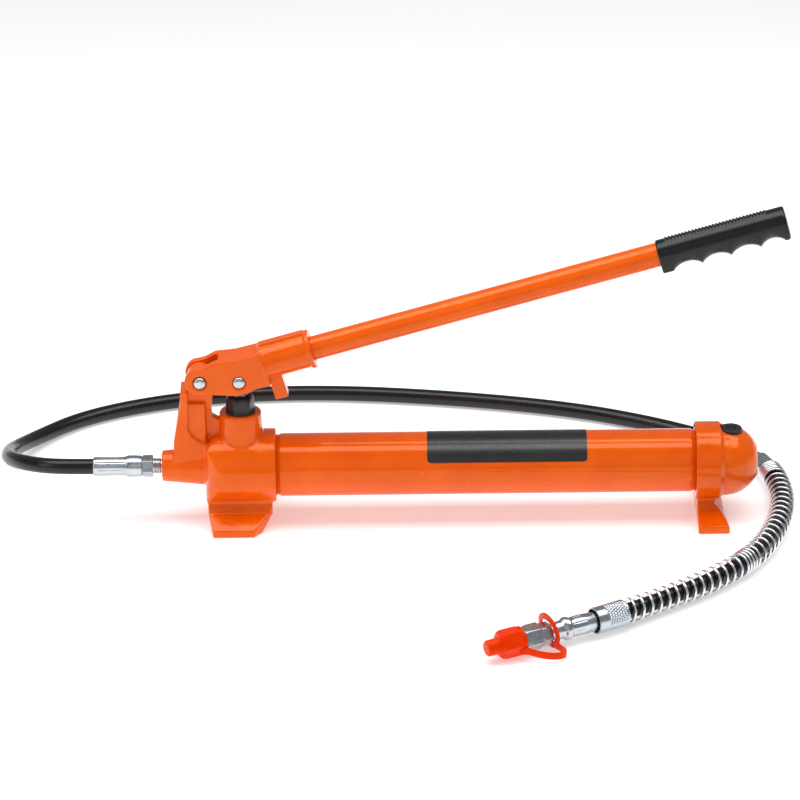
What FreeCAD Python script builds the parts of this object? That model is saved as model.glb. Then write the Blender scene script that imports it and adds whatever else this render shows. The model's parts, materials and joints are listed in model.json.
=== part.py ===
"""Hydraulic hand pump with a lever, a reservoir tube, a high-pressure hose and a capped coupler.

Millimetres. +X runs along the reservoir from the outlet port to the rear cap, +Y to the side of the
release valve, +Z up. The origin is on the floor under the plunger, in the middle of the front foot.
"""
import FreeCAD, Part
import Sketcher
import math
import os
import re

Vector = FreeCAD.Vector
Rotation = FreeCAD.Rotation
Placement = FreeCAD.Placement

X_AXIS = Vector(1, 0, 0)
Y_AXIS = Vector(0, 1, 0)
Z_AXIS = Vector(0, 0, 1)

doc = FreeCAD.newDocument("HandPump")
sheet = doc.addObject("Spreadsheet::Sheet", "Dimensions")

# ---------------------------------------------------------------------------------------------
# Driving dimensions: alias, value, what it is
# ---------------------------------------------------------------------------------------------
DIMENSIONS = [
    ("axis_height", 54, "reservoir axis above the floor"),
    ("tube_radius", 30, "reservoir tube, outside"),
    ("tube_bore", 27.5, "reservoir tube, inside"),
    ("socket_depth", 12, "how far the tube enters each casting"),
    ("seal_room", 1.8, "room beyond each end of the tube for its seal ring"),
    ("shoulder_end", 33, "front casting's face towards the tube"),
    ("shoulder_radius", 35, "front casting around the tube"),
    ("collar_start", 430, "rear casting's face towards the tube"),
    ("collar_end", 453, "rear collar's other face"),
    ("collar_radius", 37, "rear collar"),
    ("dome_centre", 458, "centre of the rear dome's sphere"),
    ("dome_radius", 34, "rear dome"),
    ("nose_face", 489, "rear cap's flat nose"),
    ("plug_place", 464, "fill plug's axis"),
    ("block_left", 34, "front casting's block, from the plunger axis to its port side"),
    ("block_half_width", 35.2, "front casting's block, half its width"),
    ("block_corner", 20, "front casting's block, radius of its upright corners"),
    ("block_base", 18.7, "front casting's block, underside above the floor"),
    ("block_top", 89.3, "front casting's block, top above the floor"),
    ("port_tip", 75.5, "outlet port's face, from the plunger axis"),
    ("port_tip_radius", 14.7, "outlet port at its face"),
    ("port_root_radius", 19.5, "outlet port at the block"),
    ("port_bore", 6.6, "outlet port's threaded bore, radius"),
    ("boss_top", 110.5, "plunger boss, top above the floor"),
    ("boss_top_radius", 19.8, "plunger boss at its top"),
    ("boss_root_radius", 22, "plunger boss at the block"),
    ("foot_lip", 7, "thickness of both feet at their edges"),
    ("front_foot_half_width", 47, "front foot, half its width"),
    ("rear_foot_half_width", 50, "rear foot, half its width"),
    ("tower_top", 136, "tower's back flange, top above the floor"),
    ("ledge_height", 123.5, "tower's ledge under the lever, above the floor"),
    ("pin_radius", 6, "lever pins"),
    ("pin_height", 146, "lever pins above the floor, at rest"),
    ("arm_length", 37, "between the two lever pins"),
    ("lug_radius", 13, "tower's upper lug around the pivot"),
    ("lug_half_thickness", 7.2, "tower's upper lug, half its thickness"),
    ("cheek_inside", 7.7, "lever cheek's inner face from the middle plane"),
    ("cheek_outside", 15, "lever cheek's outer face from the middle plane"),
    ("cheek_end_radius", 13, "lever's rounded end by the pivot"),
    ("handle_angle", 15.85, "handle above the horizontal, at rest, in degrees"),
    ("handle_offset", 1.6, "handle axis under the pivot"),
    ("handle_radius", 11.5, "handle tube, outside"),
    ("handle_bore", 9.5, "handle tube, inside"),
    ("tang_radius", 8.5, "handle's reduced end inside the grip"),
    ("handle_start", 68, "handle tube's lower end along the handle"),
    ("socket_end", 110, "lever socket's mouth along the handle"),
    ("socket_radius", 17, "lever socket, outside"),
    ("rim_radius", 18.8, "lever socket's rim"),
    ("grip_start", 446.5, "grip's start along the handle"),
    ("grip_length", 123, "grip's length"),
    ("grip_radius", 13.5, "grip's rounded top"),
    ("grip_depth", 16.5, "grip's flat underside from the handle axis"),
    ("scallop_pitch", 27.4, "between two finger ridges of the grip"),
    ("plunger_radius", 8, "plunger rod"),
    ("plunger_foot", 68, "plunger's lower end above the floor, at rest"),
    ("eye_radius", 11.3, "plunger eye around its slot"),
    ("eye_slot_radius", 6.8, "plunger eye's slot, half its width"),
    ("eye_slot_travel", 9, "plunger eye's slot, between its end centres"),
    ("chamber_floor", 62, "pump chamber's floor above the floor"),
    ("chamber_radius", 8.3, "pump chamber"),
    ("gland_radius", 11, "gland bore in the boss"),
    ("gland_depth", 16, "gland bore's depth"),
    ("nut_height", 15.5, "gland nut's hexagon"),
    ("nut_corner", 13.9, "gland nut's hexagon, centre to corner"),
    ("ball_radius", 3.6, "valve balls"),
    ("seat_radius", 2, "passages that the valve balls close"),
    ("release_place", 10, "release spindle from the plunger axis"),
    ("hose_radius", 7.5, "high-pressure hose, outside"),
    ("guard_radius", 12, "spring guard, outside"),
    ("guard_bore", 7.7, "guard, cuff and sleeve, inside"),
    ("label_start", 176, "label's end towards the front casting"),
    ("label_length", 151, "label along the tube"),
]
for row, (alias, value, meaning) in enumerate(DIMENSIONS, start=1):
    sheet.set(f"A{row}", meaning)
    sheet.set(f"B{row}", str(value))
    sheet.setAlias(f"B{row}", alias)
doc.recompute()
ALIASES = {alias for alias, value, meaning in DIMENSIONS}


def size(alias):
    """The value of one driving dimension."""
    return float(sheet.get(alias))


def value_of(expression):
    """An expression of the sheet's dimensions as a number."""
    return float(sheet.evalExpression(str(expression)))


def linked(expression):
    """The expression with each dimension's alias pointing into the spreadsheet."""
    def link(match):
        word = match.group()
        return "Dimensions." + word if word in ALIASES else word
    return re.sub(r"[a-z_]+", link, str(expression))


# ---------------------------------------------------------------------------------------------
# Building blocks
# ---------------------------------------------------------------------------------------------
def place(feature, at, rotation=Rotation()):
    """Put a feature at a point given as three expressions."""
    feature.Placement = Placement(Vector(), rotation)
    for letter, expression in zip("xyz", at):
        feature.setExpression("Placement.Base." + letter, linked(expression))
    return feature


def primitive(kind, name, sizes, at, axis=Z_AXIS):
    """One Part primitive whose own Z axis is turned to the given axis."""
    feature = doc.addObject("Part::" + kind, name)
    for prop, expression in sizes.items():
        feature.setExpression(prop, linked(expression))
    return place(feature, at, Rotation(Z_AXIS, axis))


def cylinder(name, radius, length, at, axis=Z_AXIS):
    return primitive("Cylinder", name, {"Radius": radius, "Height": length}, at, axis)


def cone(name, start_radius, end_radius, length, at, axis=Z_AXIS):
    sizes = {"Radius1": start_radius, "Radius2": end_radius, "Height": length}
    return primitive("Cone", name, sizes, at, axis)


def box(name, length, width, height, at):
    return primitive("Box", name, {"Length": length, "Width": width, "Height": height}, at)


def sphere(name, radius, at):
    return primitive("Sphere", name, {"Radius": radius}, at)


def torus(name, ring_radius, wire_radius, at, axis=Z_AXIS):
    return primitive("Torus", name, {"Radius1": ring_radius, "Radius2": wire_radius}, at, axis)


def hexagon(name, corner_radius, length, at, axis=Z_AXIS):
    feature = primitive("Prism", name, {"Circumradius": corner_radius, "Height": length}, at, axis)
    feature.Polygon = 6
    return feature


def fuse(name, pieces):
    feature = doc.addObject("Part::MultiFuse", name)
    feature.Shapes = pieces
    return feature


def common(name, pieces):
    feature = doc.addObject("Part::MultiCommon", name)
    feature.Shapes = pieces
    return feature


def cut(name, base, tools):
    """The base less one or more tools."""
    feature = doc.addObject("Part::Cut", name)
    feature.Base = base
    feature.Tool = tools[0] if len(tools) == 1 else fuse(name + "_tools", tools)
    return feature


def tube(name, outer, inner, length, at, axis=Z_AXIS):
    """A plain ring or tube."""
    wall = cylinder(name + "_wall", outer, length, at, axis)
    bore = cylinder(name + "_bore", inner, length, at, axis)
    return cut(name + "_tube", wall, [bore])


def attach_to_plane(body, sketch, role):
    plane = next(part for part in body.Origin.OriginFeatures if part.Role == role)
    sketch.AttachmentSupport = [(plane, "")]
    sketch.MapMode = "FlatFace"


def outline_sketch(body, name, role, outline):
    """A closed sketch of straight lines whose corners are held by expressions in pairs."""
    sketch = body.newObject("Sketcher::SketchObject", name)
    attach_to_plane(body, sketch, role)
    start_values = [[value_of(expression) for expression in corner] for corner in outline]
    count = len(outline)
    for index in range(count):
        first = Vector(*start_values[index], 0)
        last = Vector(*start_values[(index + 1) % count], 0)
        sketch.addGeometry(Part.LineSegment(first, last), False)
    for index in range(count):
        sketch.addConstraint(Sketcher.Constraint("Coincident", index, 2, (index + 1) % count, 1))
    for index, corner in enumerate(outline):
        for kind, expression, value, axis_line in zip(
                ("DistanceX", "DistanceY"), corner, start_values[index], (-2, -1)):
            if abs(value) < 1e-9:
                sketch.addConstraint(Sketcher.Constraint("PointOnObject", index, 1, axis_line))
            else:
                number = sketch.addConstraint(Sketcher.Constraint(kind, -1, 1, index, 1, value))
                sketch.setExpression(f"Constraints[{number}]", linked(expression))
    return sketch


def pad(name, role, outline, length, at=("0", "0", "0"), symmetric=True):
    """A body padded from a closed outline on one of its origin planes."""
    body = doc.addObject("PartDesign::Body", name)
    sketch = outline_sketch(body, name + "_outline", role, outline)
    feature = body.newObject("PartDesign::Pad", name + "_pad")
    feature.Profile = sketch
    feature.setExpression("Length", linked(length))
    feature.Midplane = symmetric
    body.Tip = feature
    return place(body, at)


def turned(name, outline, at=("0", "0", "0"), axis=Z_AXIS):
    """A body turned about its own Z axis; the outline's corners are (radius, height)."""
    body = doc.addObject("PartDesign::Body", name)
    sketch = outline_sketch(body, name + "_outline", "XZ_Plane", outline)
    feature = body.newObject("PartDesign::Revolution", name + "_turn")
    feature.Profile = sketch
    feature.ReferenceAxis = (sketch, ["V_Axis"])
    feature.Angle = 360
    body.Tip = feature
    return place(body, at, Rotation(Z_AXIS, axis))


NODES = []


def node(feature, name):
    """Name a finished sub-part, which is written to parts/name.step."""
    feature.Label = name
    NODES.append(feature)
    return feature


# ---------------------------------------------------------------------------------------------
# Front casting: block, shoulder, port, plunger boss, tower, foot and every bore
# ---------------------------------------------------------------------------------------------
def foot(name, profile, plan, at_x):
    """A flared foot: its side profile along X and its plan, in common."""
    side = pad(name + "_side", "YZ_Plane", profile, "200", (at_x, "0", "0"))
    top_view = pad(name + "_plan", "XY_Plane", plan, "200", (at_x, "0", "0"))
    return common(name, [side, top_view])


def foot_profile(half_width, neck, shoulder_height):
    """A foot's profile across the pump: flat base, thin lip, slope, upright neck."""
    return [
        (f"-{half_width}", "0"), (half_width, "0"), (half_width, "foot_lip"),
        (f"{neck} + 4", f"{shoulder_height} - 7"), (str(neck), str(shoulder_height)), (str(neck), "42"),
        (f"-{neck}", "42"), (f"-{neck}", str(shoulder_height)), (f"-{neck} - 4", f"{shoulder_height} - 7"),
        (f"-{half_width}", "foot_lip"),
    ]


def foot_plan(half_width, root_left, root_right, lip_left, lip_right):
    """A foot's plan: wide at the root and tapered to both lips."""
    return [
        (root_left, "-24"), (lip_left, f"-{half_width}"), (lip_right, f"-{half_width}"), (root_right, "-24"),
        (root_right, "24"), (lip_right, half_width), (lip_left, half_width), (root_left, "24"),
    ]


def front_block():
    """The block under the plunger boss: barrel-shaped like the shoulder, with round upright corners."""
    length = "block_left + 10"
    middle = box("block_middle", length, "2 * (block_half_width - block_corner)", "block_top - block_base",
                 ("-block_left", "block_corner - block_half_width", "block_base"))
    wide = box("block_wide", "block_left - block_corner + 10", "2 * block_half_width",
               "block_top - block_base", ("block_corner - block_left", "-block_half_width", "block_base"))
    corners = [
        cylinder(f"block_corner_{index}", "block_corner", "block_top - block_base",
                 ("block_corner - block_left", y, "block_base"))
        for index, y in enumerate(("block_corner - block_half_width", "block_half_width - block_corner"))]
    solid = fuse("block_solid", [middle, wide] + corners)
    lower = box("block_keep_lower", "100", "100", "block_top - block_base - 18", ("-50", "-50", "block_base"))
    inner = box("block_keep_inner", "60", "100", "100", ("18 - block_left", "-50", "block_base"))
    round_edge = cylinder("block_keep_edge", "18", "100", ("18 - block_left", "-50", "block_top - 18"), Y_AXIS)
    barrel = cylinder("block_barrel", "shoulder_radius + 0.25", "100", ("-50", "0", "axis_height"), X_AXIS)
    return common("block", [solid, fuse("block_keep", [lower, inner, round_edge]), barrel])


def tower():
    """The lug that carries the pivot pin: a back flange, a stepped web and a thin upper lug."""
    flange = pad("tower_flange", "XZ_Plane", [
        ("-63.5", "60"), ("-63.5", "83"), ("-55.8", "126"), ("-55.8", "tower_top"), ("-48.6", "tower_top"),
        ("-49.6", "98"), ("-46", "90"), ("-38", "84"), ("-30", "80"), ("-30", "60")], "27")
    web = pad("tower_web", "XZ_Plane", [
        ("-60", "60"), ("-54", "ledge_height"), ("-32.5", "ledge_height"), ("-32.5", "80"), ("-24", "70"),
        ("-24", "60")], "21")
    spine = pad("tower_spine", "XZ_Plane", [
        ("-40", "60"), ("-40", "ledge_height"), ("-27", "ledge_height"), ("-26.5", "108"), ("-19", "103"),
        ("-12", "103"), ("-12", "60")], "9")
    lug_neck = pad("tower_lug_neck", "XZ_Plane", [
        ("-52", "ledge_height - 8"), ("-48.8", "pin_height"), ("-arm_length + lug_radius", "pin_height"),
        ("-27", "ledge_height - 8")], "2 * lug_half_thickness")
    lug_end = cylinder("tower_lug_end", "lug_radius", "2 * lug_half_thickness",
                       ("-arm_length", "-lug_half_thickness", "pin_height"), Y_AXIS)
    return fuse("tower", [flange, web, spine, lug_neck, lug_end])


def front_bores():
    """Every hole and passage that is drilled or bored into the front casting."""
    outlet_seat = "-22"
    relief_place = ("-6", "14", "74")
    drill = cylinder("outlet_drill", "seat_radius", "19", ("-13", "0", "axis_height"))
    drill.Placement.Rotation = Rotation(Z_AXIS, Vector(8, 0, 15))
    return [
        cylinder("tube_socket", "tube_radius + 0.05", "socket_depth + seal_room + 10",
                 ("shoulder_end - socket_depth - seal_room", "0", "axis_height"), X_AXIS),
        cylinder("chamber", "chamber_radius", "60", ("0", "0", "chamber_floor")),
        cylinder("gland_bore", "gland_radius", "gland_depth + 1", ("0", "0", "boss_top - gland_depth")),
        cylinder("inlet_valve_bore", "ball_radius + 0.8", "chamber_floor - 45", ("0", "0", "46")),
        cylinder("inlet_seat", "seat_radius", "8", ("0", "0", "39")),
        cylinder("inlet_passage", "2.6", "40", ("0", "0", "40"), X_AXIS),
        cylinder("port_thread", "port_bore", "18", ("-port_tip", "0", "axis_height"), X_AXIS),
        cylinder("outlet_valve_bore", "ball_radius + 0.8", f"port_tip - 18 + {outlet_seat} + 1",
                 ("-port_tip + 17", "0", "axis_height"), X_AXIS),
        cylinder("outlet_seat", "seat_radius", "12", (f"{outlet_seat} - 1", "0", "axis_height"), X_AXIS),
        drill,
        cylinder("release_bore", "5.05", "60", ("release_place", "13", "axis_height"), Y_AXIS),
        cylinder("release_seat", "seat_radius", "20", ("release_place", "-4", "axis_height"), Y_AXIS),
        cylinder("release_passage", "seat_radius", "20", ("release_place - 10", "0", "axis_height"), X_AXIS),
        cylinder("relief_bore", "4.4", "40", relief_place, Y_AXIS),
        cylinder("relief_seat", "1.5", "14", ("-6", "0", "74"), Y_AXIS),
        cylinder("pivot_hole", "pin_radius", "60", ("-arm_length", "-30", "pin_height"), Y_AXIS),
    ]


def front_casting():
    shoulder = cylinder("shoulder", "shoulder_radius", "shoulder_end + 12", ("-12", "0", "axis_height"),
                        X_AXIS)
    port = cone("port", "port_tip_radius", "port_root_radius", "port_tip - 24",
                ("-port_tip", "0", "axis_height"), X_AXIS)
    boss = cone("boss", "boss_root_radius", "boss_top_radius", "boss_top - 70", ("0", "0", "70"))
    release_boss = cylinder("release_boss", "11", "16", ("release_place", "24", "axis_height"), Y_AXIS)
    foot_blank = foot("front_foot_blank", foot_profile("front_foot_half_width", 24, 24),
                      foot_plan("front_foot_half_width", "-32", "29", "-27", "12"), "0")
    hollow = [("-37", "-1"), ("37", "-1"), ("25", "12"), ("-25", "12")]
    hollows = [pad("foot_hollow_" + side, "YZ_Plane", hollow, "40", (at_x, "0", "0"))
               for side, at_x in (("port", "-38"), ("tube", "34"))]
    base = cut("front_foot", foot_blank, hollows)
    solid = fuse("front_solid", [front_block(), shoulder, port, boss, release_boss, tower(), base])
    return cut("front_casting", solid, front_bores())


node(front_casting(), "pump_body")
node(tube("reservoir", "tube_radius", "tube_bore", "collar_start - shoulder_end + 2 * socket_depth - 0.4",
          ("shoulder_end - socket_depth + 0.2", "0", "axis_height"), X_AXIS), "reservoir_tube")


# ---------------------------------------------------------------------------------------------
# Rear casting
# ---------------------------------------------------------------------------------------------
def rear_casting():
    collar = cylinder("collar", "collar_radius", "collar_end - collar_start",
                      ("collar_start", "0", "axis_height"), X_AXIS)
    bead = cone("collar_bead", "collar_radius", "dome_radius", "3", ("collar_end", "0", "axis_height"), X_AXIS)
    neck = cylinder("dome_neck", "dome_radius", "dome_centre - collar_end + 2",
                    ("collar_end - 2", "0", "axis_height"), X_AXIS)
    ball = sphere("dome_ball", "dome_radius", ("dome_centre", "0", "axis_height"))
    keep = box("dome_keep", "nose_face - dome_centre", "100", "100",
               ("dome_centre", "-50", "axis_height - 50"))
    foot_blank = foot("rear_foot_blank", foot_profile("rear_foot_half_width", 24, 22),
                      foot_plan("rear_foot_half_width", "1.5", "27", "1.5", "31"), "collar_start")
    foot_slope = pad("rear_foot_slope", "XZ_Plane", [
        ("1.5", "-1"), ("31.5", "-1"), ("31.5", "6"), ("18", "19.5"), ("22", "30"), ("22", "43"), ("1.5", "43")],
        "200", ("collar_start", "0", "0"))
    base = common("rear_foot", [foot_blank, foot_slope])
    solid = fuse("rear_solid", [collar, bead, neck, common("dome", [ball, keep]), base])
    inside_ball = sphere("cavity_ball", "tube_bore - 1", ("dome_centre - 4", "0", "axis_height"))
    inside_keep = box("cavity_keep", "22", "80", "80", ("dome_centre - 4", "-40", "axis_height - 40"))
    bores = [
        cylinder("rear_socket", "tube_radius + 0.05", "socket_depth + seal_room + 10",
                 ("collar_start - 10", "0", "axis_height"), X_AXIS),
        cylinder("cavity_bore", "tube_bore - 1", "dome_centre - collar_start - socket_depth - 3",
                 ("collar_start + socket_depth - 1", "0", "axis_height"), X_AXIS),
        common("cavity_end", [inside_ball, inside_keep]),
        cylinder("tie_bolt_hole", "5.05", "60", ("dome_centre", "0", "axis_height"), X_AXIS),
        cylinder("tie_head_recess", "9", "20", ("nose_face - 8", "0", "axis_height"), X_AXIS),
        cylinder("fill_hole", "7.05", "40", ("plug_place", "0", "axis_height + 10")),
        cylinder("fill_spot_face", "11.2", "20", ("plug_place", "0", "axis_height + 29.5")),
    ]
    return cut("rear_casting", solid, bores)


node(rear_casting(), "rear_cap")


# ---------------------------------------------------------------------------------------------
# Reservoir seals, tie rod and fill plug
# ---------------------------------------------------------------------------------------------
def rear_fittings():
    node(tube("front_seal", "tube_radius - 0.4", "tube_bore", "1.6",
              ("shoulder_end - socket_depth - 1.6", "0", "axis_height"), X_AXIS), "front_seal_ring")
    node(tube("rear_seal", "tube_radius - 0.4", "tube_bore", "1.6",
              ("collar_start + socket_depth - 0.1", "0", "axis_height"), X_AXIS), "rear_seal_ring")
    rod = cylinder("tie_rod", "5", "nose_face - 7 - shoulder_end + socket_depth",
                   ("shoulder_end - socket_depth", "0", "axis_height"), X_AXIS)
    head = cylinder("tie_head", "8.4", "7", ("nose_face - 7.9", "0", "axis_height"), X_AXIS)
    key = hexagon("tie_key", "4.6", "5", ("nose_face - 4.9", "0", "axis_height"), X_AXIS)
    node(cut("tie_bolt_solid", fuse("tie_bolt_blank", [rod, head]), [key]), "tie_bolt")


def fill_plug():
    top = "axis_height + 29.5"
    shank = cylinder("plug_shank", "6.95", "9", ("plug_place", "0", f"{top} - 7"))
    flange = cone("plug_flange", "10.6", "9.8", "3", ("plug_place", "0", f"{top} + 1.1"))
    dimple = cylinder("plug_dimple", "4.5", "2", ("plug_place", "0", f"{top} + 2.6"))
    slot = box("plug_slot", "8", "1.6", "2", ("plug_place - 4", "-0.8", f"{top} + 1.8"))
    node(cut("plug_solid", fuse("plug_blank", [shank, flange]), [dimple, slot]), "fill_plug")
    node(tube("plug_washer", "10.4", "7.05", "1", ("plug_place", "0", top + " + 0.05")), "fill_plug_washer")


# ---------------------------------------------------------------------------------------------
# Valves inside the front casting
# ---------------------------------------------------------------------------------------------
def valves():
    seat_lift = "sqrt(ball_radius * ball_radius - seat_radius * seat_radius)"
    node(sphere("inlet_ball_solid", "ball_radius", ("0", "0", f"46.05 + {seat_lift}")), "inlet_ball")
    node(tube("inlet_stop", "ball_radius + 0.75", "seat_radius", "2.5", ("0", "0", "57")), "inlet_ball_stop")
    node(sphere("outlet_ball_solid", "ball_radius", (f"-22.05 - {seat_lift}", "0", "axis_height")), "outlet_ball")
    node(tube("outlet_spring_sleeve", "3.4", "2.4", "22", ("-52", "0", "axis_height"), X_AXIS),
         "outlet_spring")
    relief_ball = sphere("relief_ball_solid", "2.6", ("-6", "16.2", "74"))
    node(relief_ball, "relief_ball")
    node(tube("relief_spring_sleeve", "3.4", "2.2", "6", ("-6", "20", "74"), Y_AXIS), "relief_spring")
    screw = cylinder("relief_screw_blank", "4.35", "5.5", ("-6", "26.2", "74"), Y_AXIS)
    key = hexagon("relief_screw_key", "2.3", "4", ("-6", "28.7", "74"), Y_AXIS)
    node(cut("relief_screw_solid", screw, [key]), "relief_screw")
    node(tube("suction_pipe", "2.55", "1.7", "34", ("17", "0", "40"), X_AXIS), "suction_tube")
    cap = cylinder("strainer_shell", "5", "14", ("45", "0", "40"), X_AXIS)
    hole = cylinder("strainer_hole", "2.6", "12", ("44", "0", "40"), X_AXIS)
    node(cut("strainer_solid", cap, [hole]), "suction_strainer")


def release_valve():
    spindle = turned("release_spindle_turned", [
        ("0", "14.2"), ("1.2", "14.2"), ("3.4", "17"), ("3.4", "22"), ("4.98", "22"), ("4.98", "30"),
        ("4", "30"), ("4", "33"), ("4.98", "33"), ("4.98", "52"), ("0", "52")],
        ("release_place", "0", "axis_height"), Y_AXIS)
    node(spindle, "release_spindle")
    node(torus("release_ring", "4.52", "0.5", ("release_place", "31.5", "axis_height"), Y_AXIS), "release_seal_ring")
    head = cylinder("knob_head", "13", "14", ("release_place", "42", "axis_height"), Y_AXIS)
    hub = cylinder("knob_hub", "7.5", "2.5", ("release_place", "40.4", "axis_height"), Y_AXIS)
    hole = cylinder("knob_hole", "5", "11.7", ("release_place", "40.3", "axis_height"), Y_AXIS)
    flutes = []
    for index in range(8):
        angle = 45 * index
        flutes.append(cylinder(f"knob_flute_{index}", "2.6", "20", (
            f"release_place + 14 * cos({angle})", "40", f"axis_height + 14 * sin({angle})"), Y_AXIS))
    node(cut("knob_solid", fuse("knob_blank", [head, hub]), [hole] + flutes), "release_knob")


# ---------------------------------------------------------------------------------------------
# Gland, seals and plunger
# ---------------------------------------------------------------------------------------------
def gland():
    seal_base = "boss_top - gland_depth"
    node(tube("plunger_seal_ring", "gland_radius - 0.05", "plunger_radius + 0.05", "4.5",
              ("0", "0", seal_base + " + 0.05")), "plunger_seal")
    shank = cylinder("nut_shank", "gland_radius - 0.05", "gland_depth - 4", ("0", "0", seal_base + " + 5"))
    flange = cylinder("nut_flange", "nut_corner + 0.4", "1.6", ("0", "0", "boss_top + 0.05"))
    hex_body = hexagon("nut_hexagon", "nut_corner", "nut_height", ("0", "0", "boss_top + 1.6"))
    crown = cone("nut_crown", "nut_corner + 12", "nut_corner - 3.4", "nut_height", ("0", "0", "boss_top + 1.6"))
    bore = cylinder("nut_bore", "plunger_radius + 0.3", "60", ("0", "0", "boss_top - 30"))
    recess = cylinder("nut_recess", "10", "10", ("0", "0", "boss_top + nut_height - 1.4"))
    top = common("nut_top", [hex_body, crown])
    node(cut("gland_nut_solid", fuse("gland_nut_blank", [shank, flange, top]), [bore, recess]), "gland_nut")
    node(tube("wiper", "9.95", "plunger_radius + 0.05", "2.8", ("0", "0", "boss_top + nut_height - 1.3")),
         "wiper_ring")


def plunger():
    """The rod and its flat eye, whose slot lets the lever's pin swing while the rod stays upright."""
    rod = cylinder("plunger_rod", "plunger_radius", "pin_height - 18 - plunger_foot", ("0", "0", "plunger_foot"))
    neck = common("plunger_neck", [
        cylinder("plunger_neck_round", "plunger_radius", "18", ("0", "0", "pin_height - 20")),
        box("plunger_neck_flats", "20", "14", "18", ("-10", "-7", "pin_height - 20"))])
    eye_right = cylinder("eye_right", "eye_radius", "14", ("0.3", "-7", "pin_height"), Y_AXIS)
    eye_left = cylinder("eye_left", "eye_radius", "14", ("0.3 - eye_slot_travel", "-7", "pin_height"), Y_AXIS)
    eye_middle = box("eye_middle", "eye_slot_travel", "14", "2 * eye_radius",
                     ("0.3 - eye_slot_travel", "-7", "pin_height - eye_radius"))
    slot_right = cylinder("slot_right", "eye_slot_radius", "20", ("0.3", "-10", "pin_height"), Y_AXIS)
    slot_left = cylinder("slot_left", "eye_slot_radius", "20", ("0.3 - eye_slot_travel", "-10", "pin_height"), Y_AXIS)
    slot_middle = box("slot_middle", "eye_slot_travel", "20", "2 * eye_slot_radius",
                      ("0.3 - eye_slot_travel", "-10", "pin_height - eye_slot_radius"))
    solid = fuse("plunger_solid", [rod, neck, eye_right, eye_left, eye_middle])
    node(cut("plunger_slotted", solid, [slot_right, slot_left, slot_middle]), "plunger")


# ---------------------------------------------------------------------------------------------
# Lever, pins, handle and grip; lengths along the handle start beside the pivot
# ---------------------------------------------------------------------------------------------
HANDLE_TILT = Rotation(Y_AXIS, -size("handle_angle"))
HANDLE_AXIS = HANDLE_TILT.multVec(X_AXIS)


def on_handle(along, across="0", side="0"):
    """A point given along the handle's axis, square to it upwards, and towards +Y."""
    rise = f"({across} - handle_offset)"
    return (f"-arm_length + ({along}) * cos(handle_angle) - {rise} * sin(handle_angle)", side,
            f"pin_height + ({along}) * sin(handle_angle) + {rise} * cos(handle_angle)")


def handle_cylinder(name, radius, start, length):
    return cylinder(name, radius, length, on_handle(start), HANDLE_AXIS)


def handle_box(name, start, length, half_width, low, high):
    """A box square to the handle, from low to high across its axis."""
    feature = box(name, length, f"2 * ({half_width})", f"({high}) - ({low})",
                  on_handle(start, low, f"-({half_width})"))
    feature.Placement.Rotation = HANDLE_TILT
    return feature


def lever_fork():
    """The fork's two cheeks and top web, with the slot that the tower's lug and the plunger enter."""
    plate = pad("fork_plate", "XZ_Plane", [
        ("-38.3", "-12"), ("-26.5", "-12"), ("-9.7", "-13.2"), ("-1.2", "-13.3"), ("10.1", "-9.9"),
        ("15.9", "-6.3"), ("30", "-3.5"), ("20.4", "29.5"), ("11", "26.8"), ("-4.1", "23"), ("-22.8", "21"),
        ("-31.4", "16"), ("-38.3", "14")], "2 * cheek_outside", ("0", "0", "pin_height"))
    end = cylinder("fork_end", "cheek_end_radius", "2 * cheek_outside",
                   ("-38.3", "-cheek_outside", "pin_height + 1"), Y_AXIS)
    bead = handle_cylinder("fork_bead", "socket_radius + 0.9", "61", "3")
    bead_foot = handle_box("fork_bead_foot", "61", "3", "cheek_outside + 1", "-18", "0")
    return [plate, end, bead, bead_foot]


def lever_casting():
    socket = handle_cylinder("socket", "socket_radius", "60", "socket_end - 60")
    rim = handle_cylinder("socket_rim", "rim_radius", "socket_end - 4", "4")
    rib = handle_box("socket_rib", "62", "socket_end - 66", "4", "10", "socket_radius + 3")
    horn = handle_box("horn", "62.5", "12.5", "6.5", "-38.5", "-8")
    solid = fuse("lever_solid", lever_fork() + [socket, rim, rib, horn])
    slot_width = "2 * cheek_inside"
    bores = [
        box("slot_open", "60", slot_width, "80", ("-80", "-cheek_inside", "pin_height - 40")),
        box("slot_under_web", "44", slot_width, "53.5", ("-20.1", "-cheek_inside", "pin_height - 40")),
        handle_cylinder("socket_bore", "handle_radius + 0.05", "handle_start - 1", "80"),
        cylinder("pivot_bore", "pin_radius + 0.08", "60", ("-arm_length", "-30", "pin_height"), Y_AXIS),
        cylinder("plunger_pin_bore", "pin_radius", "60", ("0", "-30", "pin_height"), Y_AXIS),
        cone("pivot_countersink", "pin_radius + 1.6", "pin_radius", "1.6",
             ("-arm_length", "-cheek_outside - 0.01", "pin_height"), Y_AXIS),
        cone("plunger_pin_countersink", "pin_radius + 0.9", "pin_radius", "0.9",
             ("0", "-cheek_outside - 0.01", "pin_height"), Y_AXIS),
    ]
    node(cut("lever_bored", solid, bores), "lever_casting")


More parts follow.
